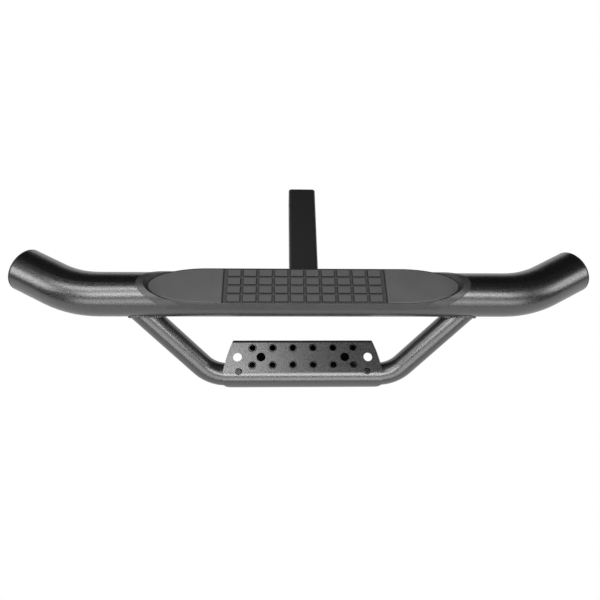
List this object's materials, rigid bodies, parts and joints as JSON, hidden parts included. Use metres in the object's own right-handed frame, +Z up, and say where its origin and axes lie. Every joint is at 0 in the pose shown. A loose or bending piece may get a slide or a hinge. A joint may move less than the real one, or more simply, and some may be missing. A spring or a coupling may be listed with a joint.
{
  "type": "hitch receiver step",
  "caption": "Bent tube hitch step with a treaded pad, a drop hoop with a perforated folded lower step, and a square receiver shank with a cross pin bore.",
  "frame": {"origin": "centre of the hitch pin bore, on the shank's axis", "axes": "+X across the vehicle to the right as seen from behind, +Y along the shank towards the vehicle, +Z up"},
  "size_m": [1.0026, 0.3538, 0.1857],
  "materials": {
    "tube_coat": "fine-textured black powder coat",
    "shank_coat": "fine-textured black powder coat",
    "hoop_coat": "fine-textured black powder coat",
    "weld_coat": "weld bead under black powder coat",
    "plate_coat": "fine-textured black powder coat",
    "bracket_coat": "matte black powder coat on the inside of the lower step",
    "screw_black": "black oxide screw",
    "zinc_steel": "zinc-plated steel",
    "cap_plastic": "matte black moulded plastic",
    "pad_plastic": "matte dark grey moulded plastic",
    "cover_plastic": "matte dark grey moulded plastic, smooth",
    "tread_rubber": "matte dark grey tread rubber"
  },
  "bodies": {
    "root": {"main_tube": "tube_coat", "end_cap_left": "cap_plastic", "end_cap_right": "cap_plastic", "shank": "shank_coat", "shank_weld": "weld_coat", "lower_hoop": "hoop_coat", "hoop_weld_left": "weld_coat", "hoop_weld_right": "weld_coat", "plate_support": "bracket_coat", "step_plate": "plate_coat", "plate_screw_left": "screw_black", "plate_screw_right": "screw_black", "plate_rivnut_left": "zinc_steel", "plate_rivnut_right": "zinc_steel", "pad_base": "pad_plastic", "tread_mat": "tread_rubber", "end_cover_left": "cover_plastic", "end_cover_right": "cover_plastic", "pad_screw_inner_left": "zinc_steel", "pad_screw_inner_right": "zinc_steel", "pad_screw_outer_left": "zinc_steel", "pad_screw_outer_right": "zinc_steel"}
  },
  "joints": []
}
